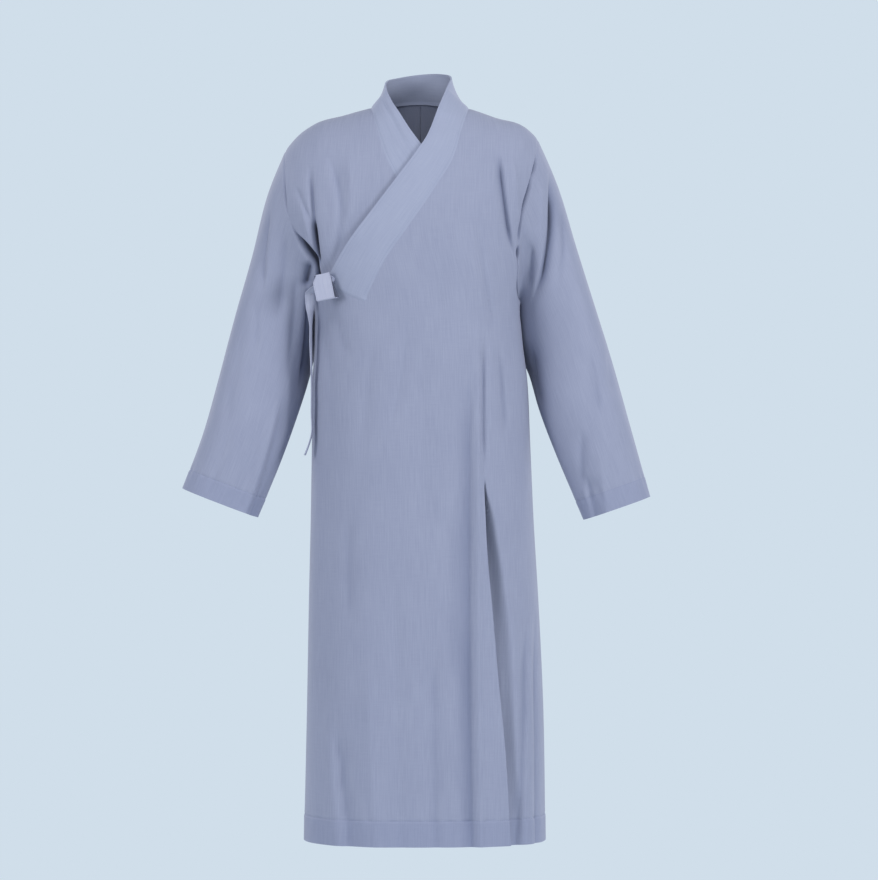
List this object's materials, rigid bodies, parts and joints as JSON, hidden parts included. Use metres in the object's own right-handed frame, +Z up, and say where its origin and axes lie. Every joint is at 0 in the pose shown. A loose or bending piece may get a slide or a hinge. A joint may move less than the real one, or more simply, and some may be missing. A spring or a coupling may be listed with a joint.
{
  "type": "buddhist monk robe",
  "caption": "Long plain robe with a crossed band collar, straight sleeves, a small side tie and a deep side slit, in its worn, hollow form.",
  "frame": {"origin": "middle of the neck base, level with the right shoulder seam at the neck, where the shoulders carry the robe", "axes": "+Z up along the robe's length, the front faces -Y, +X to the wearer's left"},
  "size_m": [0.79, 0.3097, 1.3043],
  "materials": {
    "cloth": "matt grey-blue suiting weave",
    "collar": "matt grey-blue suiting weave, doubled and pressed",
    "tie": "matt grey-blue suiting weave, folded strip"
  },
  "bodies": {
    "root": {"outer_front": "cloth", "inner_front": "cloth", "left_back": "cloth", "right_back": "cloth", "left_sleeve": "cloth", "right_sleeve": "cloth", "collar_band": "collar", "tie_knot": "tie", "tie_loop": "tie", "tie_ribbon": "tie"}
  },
  "joints": []
}
